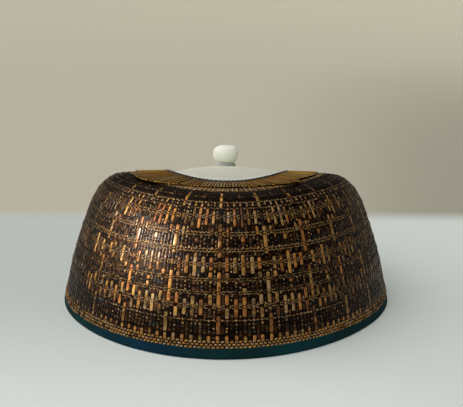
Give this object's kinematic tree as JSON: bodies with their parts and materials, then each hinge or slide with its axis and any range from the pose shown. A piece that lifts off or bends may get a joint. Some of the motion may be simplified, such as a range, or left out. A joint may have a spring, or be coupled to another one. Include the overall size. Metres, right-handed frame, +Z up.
{
  "type": "stiff woven hausa cap with a white domed crown centre and knob",
  "caption": "Stiff round cap of fine dark and tan weave, with a rounded shoulder, teal bound hem, plaited straw crown ring and a white domed centre with a knob.",
  "frame": {"origin": "under the middle of the cap, in the plane that its hem rests on", "axes": "+Z up through the crown, -Y towards the front of the cap, +X to the viewer's right when seen from the front"},
  "size_m": [0.1802, 0.195, 0.0842],
  "materials": {
    "weave": "fine dark fibre weave with glossy tan straw floats",
    "hem_cloth": "dark teal cotton, folded and stitched",
    "straw": "tan plaited straw with a slight gloss",
    "edging": "dark twined thread",
    "white_cloth": "plain white cotton",
    "white_knob": "white wound cotton"
  },
  "bodies": {
    "root": {"woven_shell": "weave", "hem_binding": "hem_cloth", "crown_ring": "straw", "rim_cord": "edging", "crown_dome": "white_cloth", "crown_knob": "white_knob"}
  },
  "joints": []
}
